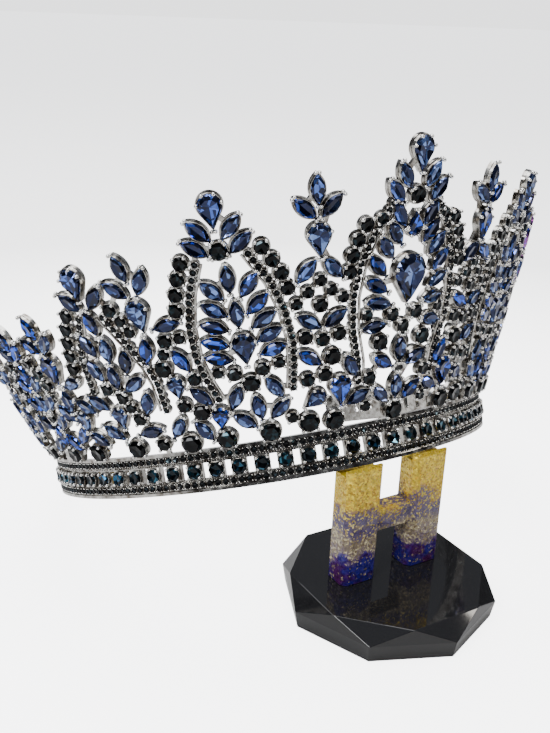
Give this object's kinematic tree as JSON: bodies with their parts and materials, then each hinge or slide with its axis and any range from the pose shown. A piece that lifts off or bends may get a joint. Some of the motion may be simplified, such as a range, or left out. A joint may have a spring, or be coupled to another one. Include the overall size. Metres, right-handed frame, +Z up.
{
  "type": "pageant crown on a two-post stand",
  "caption": "Tall open-backed pageant crown with an openwork wall of blue leaf and pear stones over a pierced band, leaning back on a small two-post stand",
  "frame": {"origin": "centre of the overall box, on the surface that it rests on", "axes": "+X to the wearer's left as seen from the front, front faces -Y, +Z up"},
  "size_m": [0.186, 0.1509, 0.138],
  "materials": {
    "silver_metal": "polished rhodium-look plating",
    "blue_glass": "foil-backed faceted glass",
    "dark_glass": "foil-backed faceted near-black glass",
    "glitter_resin": "cast resin with glitter, gold over grey over violet",
    "black_resin": "polished black cast resin"
  },
  "bodies": {
    "root": {"metal_frame": "silver_metal", "leaf_stones": "blue_glass", "small_pear_stones": "blue_glass", "foot_stones": "dark_glass", "stand_posts": "glitter_resin", "stand_base": "black_resin", "centre_arch_middle_pear_1": "blue_glass", "centre_arch_middle_great_pear_1": "blue_glass", "tall_spire_left_pear_1": "blue_glass", "tall_spire_right_pear_1": "blue_glass", "tall_spire_left_pear_2": "blue_glass", "tall_spire_right_pear_2": "blue_glass", "side_arch_left_pear_1": "blue_glass", "side_arch_right_pear_1": "blue_glass", "side_arch_left_pear_2": "blue_glass", "side_arch_right_pear_2": "blue_glass", "low_spire_left_pear_1": "blue_glass", "low_spire_right_pear_1": "blue_glass", "low_arch_left_pear_1": "blue_glass", "low_arch_right_pear_1": "blue_glass", "side_spire_left_pear_1": "blue_glass", "side_spire_right_pear_1": "blue_glass"}
  },
  "joints": []
}
